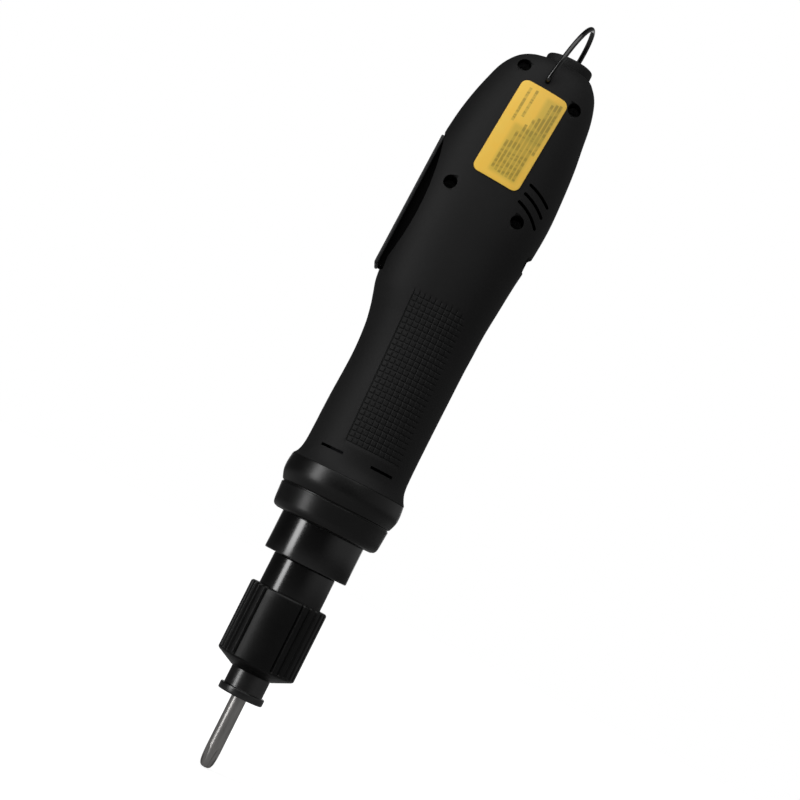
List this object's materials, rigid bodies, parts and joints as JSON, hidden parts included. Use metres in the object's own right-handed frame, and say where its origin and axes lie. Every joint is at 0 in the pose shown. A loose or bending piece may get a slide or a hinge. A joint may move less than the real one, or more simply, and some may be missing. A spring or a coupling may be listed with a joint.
{
  "type": "electric torque screwdriver",
  "caption": "In-line electric torque screwdriver: black housing with start lever, hanging bail, knurled torque nut, bit sleeve and Phillips bit.",
  "frame": {"origin": "on the tool's axis, in the plane of the metal collar's lower end", "axes": "+Z along the axis towards the tail, the bit points along -Z, the start lever is on the -X side, the label faces -Y"},
  "size_m": [0.0444, 0.0394, 0.2611],
  "materials": {
    "housing_plastic": "fine moulded matt black",
    "cap_plastic": "gloss black",
    "black_steel": "black oxide, polished",
    "bright_steel": "turned, satin nickel",
    "screw_steel": "zinc",
    "label_film": "satin yellow film",
    "gear_steel": "ground and oiled",
    "plated_steel": "nickel plated",
    "ferrite": "sintered ferrite",
    "bronze": "sintered bronze",
    "nylon": "natural nylon",
    "carbon": "pressed carbon",
    "black_plastic": "moulded black",
    "gold_plate": "gold plated",
    "board_green": "solder resist",
    "capacitor_sleeve": "shrink sleeve",
    "resistor_body": "ceramic coat",
    "lead_pvc": "flexible PVC",
    "lever_black": "moulded black, fine texture",
    "spring_steel": "drawn wire",
    "bearing_steel": "polished",
    "cage_brass": "pressed brass",
    "core_steel": "laminated, lacquered",
    "copper": "enamelled copper"
  },
  "bodies": {
    "root": {"housing_front": "housing_plastic", "housing_rear": "housing_plastic", "housing_screws": "screw_steel", "label_plate": "label_film", "nose_cap": "cap_plastic", "clutch_housing": "black_steel", "ring_gear": "gear_steel", "motor_plate": "plated_steel", "motor_plate_screws": "screw_steel", "motor_can": "plated_steel", "motor_magnets": "ferrite", "shaft_bushes": "bronze", "motor_end_bell": "nylon", "motor_brushes": "carbon", "connector_shell": "plated_steel", "connector_insulator": "black_plastic", "connector_pins": "gold_plate", "start_switch_body": "black_plastic", "direction_switch_body": "black_plastic", "circuit_board": "board_green", "brake_relay": "black_plastic", "smoothing_capacitor": "capacitor_sleeve", "brake_resistor": "resistor_body", "internal_leads": "lead_pvc", "lever_pin": "screw_steel", "lever_spring": "spring_steel", "bearing_outer_race": "bearing_steel", "torque_spring": "spring_steel", "sleeve_spring": "spring_steel"},
    "start_lever": {"start_lever": "lever_black"},
    "switch_plunger": {"start_switch_plunger": "nylon"},
    "direction_knob": {"direction_switch_knob": "black_plastic"},
    "bail": {"hanging_bail": "black_steel"},
    "thrust_ring": {"thrust_ring": "bronze"},
    "torque_nut": {"torque_nut": "black_steel"},
    "rotor": {"rotor_shaft": "bearing_steel", "rotor_core": "core_steel", "rotor_windings": "copper", "commutator": "copper", "sun_pinion": "bronze"},
    "first_carrier": {"carrier_1": "gear_steel", "second_sun": "bronze"},
    "planet_1a": {"planet_1a": "gear_steel"},
    "planet_1b": {"planet_1b": "gear_steel"},
    "planet_1c": {"planet_1c": "gear_steel"},
    "second_carrier": {"carrier_2": "gear_steel", "bearing_inner_race": "bearing_steel"},
    "planet_2a": {"planet_2a": "gear_steel"},
    "planet_2b": {"planet_2b": "gear_steel"},
    "planet_2c": {"planet_2c": "gear_steel"},
    "bearing_balls": {"bearing_balls": "bearing_steel", "bearing_cage": "cage_brass"},
    "spindle": {"spindle": "bright_steel", "retaining_rings": "screw_steel", "bit_balls": "bearing_steel"},
    "clutch_plate": {"clutch_plate": "gear_steel", "clutch_balls": "bearing_steel", "thrust_washer": "bearing_steel"},
    "bit_sleeve": {"bit_sleeve": "black_steel"},
    "bit": {"bit": "bright_steel"}
  },
  "joints": [
    {"name": "lever_press", "type": "hinge", "parent": "root", "child": "start_lever", "pos_m": [-0.0188, 0, 0.1366], "axis": [0, -1, 0], "range_deg": [0, 4], "stiffness_Nm_per_rad": 0.5, "springref_deg": -2.86, "deforming": ["lever_spring"]},
    {"name": "plunger_press", "type": "slide", "parent": "root", "child": "switch_plunger", "axis": [1, 0, 0], "range_m": [0, 0.0019]},
    {"name": "direction_slide", "type": "slide", "parent": "root", "child": "direction_knob", "axis": [0, 1, 0], "range_m": [-0.0022, 0.0022]},
    {"name": "bail_swing", "type": "hinge", "parent": "root", "child": "bail", "pos_m": [0.0019, 0, 0.1674], "axis": [0.1045, 0.9945, 0], "range_deg": [-97, 74]},
    {"name": "torque_travel", "type": "slide", "parent": "root", "child": "thrust_ring", "axis": [0, 0, 1], "range_m": [-0.0008, 0.0091], "deforming": ["torque_spring"]},
    {"name": "torque_turn", "type": "hinge", "parent": "thrust_ring", "child": "torque_nut", "pos_m": [0, 0, 0], "axis": [0, 0, 1], "range_deg": [-180, 2160]},
    {"name": "motor_spin", "type": "hinge", "parent": "root", "child": "rotor", "pos_m": [0, 0, 0], "axis": [0, 0, 1], "continuous": true},
    {"name": "first_carrier_spin", "type": "hinge", "parent": "root", "child": "first_carrier", "pos_m": [0, 0, 0], "axis": [0, 0, 1], "continuous": true},
    {"name": "planet_1a_spin", "type": "hinge", "parent": "first_carrier", "child": "planet_1a", "pos_m": [0.00675, 0, 0], "axis": [0, 0, 1], "continuous": true},
    {"name": "planet_1b_spin", "type": "hinge", "parent": "first_carrier", "child": "planet_1b", "pos_m": [-0.00337, 0.00585, 0], "axis": [0, 0, 1], "continuous": true},
    {"name": "planet_1c_spin", "type": "hinge", "parent": "first_carrier", "child": "planet_1c", "pos_m": [-0.00337, -0.00585, 0], "axis": [0, 0, 1], "continuous": true},
    {"name": "second_carrier_spin", "type": "hinge", "parent": "root", "child": "second_carrier", "pos_m": [0, 0, 0], "axis": [0, 0, 1], "continuous": true},
    {"name": "planet_2a_spin", "type": "hinge", "parent": "second_carrier", "child": "planet_2a", "pos_m": [0.00675, 0, 0], "axis": [0, 0, 1], "continuous": true},
    {"name": "planet_2b_spin", "type": "hinge", "parent": "second_carrier", "child": "planet_2b", "pos_m": [-0.00337, 0.00585, 0], "axis": [0, 0, 1], "continuous": true},
    {"name": "planet_2c_spin", "type": "hinge", "parent": "second_carrier", "child": "planet_2c", "pos_m": [-0.00337, -0.00585, 0], "axis": [0, 0, 1], "continuous": true},
    {"name": "bearing_balls_spin", "type": "hinge", "parent": "root", "child": "bearing_balls", "pos_m": [0, 0, 0], "axis": [0, 0, 1], "continuous": true},
    {"name": "spindle_spin", "type": "hinge", "parent": "root", "child": "spindle", "pos_m": [0, 0, 0], "axis": [0, 0, 1], "continuous": true},
    {"name": "clutch_open", "type": "slide", "parent": "spindle", "child": "clutch_plate", "axis": [0, 0, -1], "range_m": [0, 0.0012], "stiffness_N_per_m": 20000, "springref_m": -0.002},
    {"name": "sleeve_pull", "type": "slide", "parent": "spindle", "child": "bit_sleeve", "axis": [0, 0, 1], "range_m": [0, 0.003], "stiffness_N_per_m": 1000, "springref_m": -0.002, "deforming": ["sleeve_spring"]},
    {"name": "bit_pull", "type": "slide", "parent": "spindle", "child": "bit", "axis": [0, 0, -1], "range_m": [0, 0.024]}
  ],
  "couplings": [
    {"joint": "plunger_press", "follows": "lever_press", "m_per_rad": 0.0266},
    {"joint": "torque_travel", "follows": "torque_turn", "m_per_rad": 0.00023873},
    {"joint": "first_carrier_spin", "follows": "motor_spin", "ratio": 0.22222},
    {"joint": "second_carrier_spin", "follows": "motor_spin", "ratio": 0.049383},
    {"joint": "spindle_spin", "follows": "motor_spin", "ratio": 0.049383},
    {"joint": "bearing_balls_spin", "follows": "motor_spin", "ratio": 0.021652},
    {"joint": "planet_1a_spin", "follows": "motor_spin", "ratio": -0.62222},
    {"joint": "planet_2a_spin", "follows": "motor_spin", "ratio": -0.13827},
    {"joint": "planet_1b_spin", "follows": "motor_spin", "ratio": -0.62222},
    {"joint": "planet_2b_spin", "follows": "motor_spin", "ratio": -0.13827},
    {"joint": "planet_1c_spin", "follows": "motor_spin", "ratio": -0.62222},
    {"joint": "planet_2c_spin", "follows": "motor_spin", "ratio": -0.13827}
  ]
}
